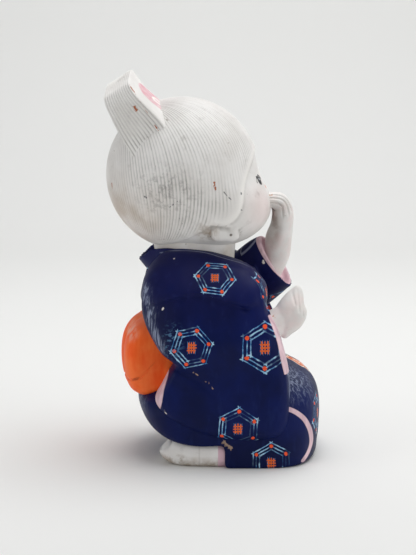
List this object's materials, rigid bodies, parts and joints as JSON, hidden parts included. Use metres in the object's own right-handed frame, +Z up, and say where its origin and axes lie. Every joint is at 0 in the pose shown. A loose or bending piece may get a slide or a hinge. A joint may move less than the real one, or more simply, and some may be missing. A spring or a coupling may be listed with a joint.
{
  "type": "hakata doll",
  "caption": "Fired clay doll of a kneeling child in a kimono, one hand to the mouth, hair in a tall bun and a sash bow behind.",
  "frame": {"origin": "middle of the bounding box in X and Y, on the surface the doll stands on", "axes": "+Z up along the height, the doll faces -Y and its right side is -X"},
  "size_m": [0.0822, 0.0952, 0.17],
  "materials": {
    "painted_clay": "matt paint on fired clay"
  },
  "bodies": {
    "root": {"doll": "painted_clay"}
  },
  "joints": []
}
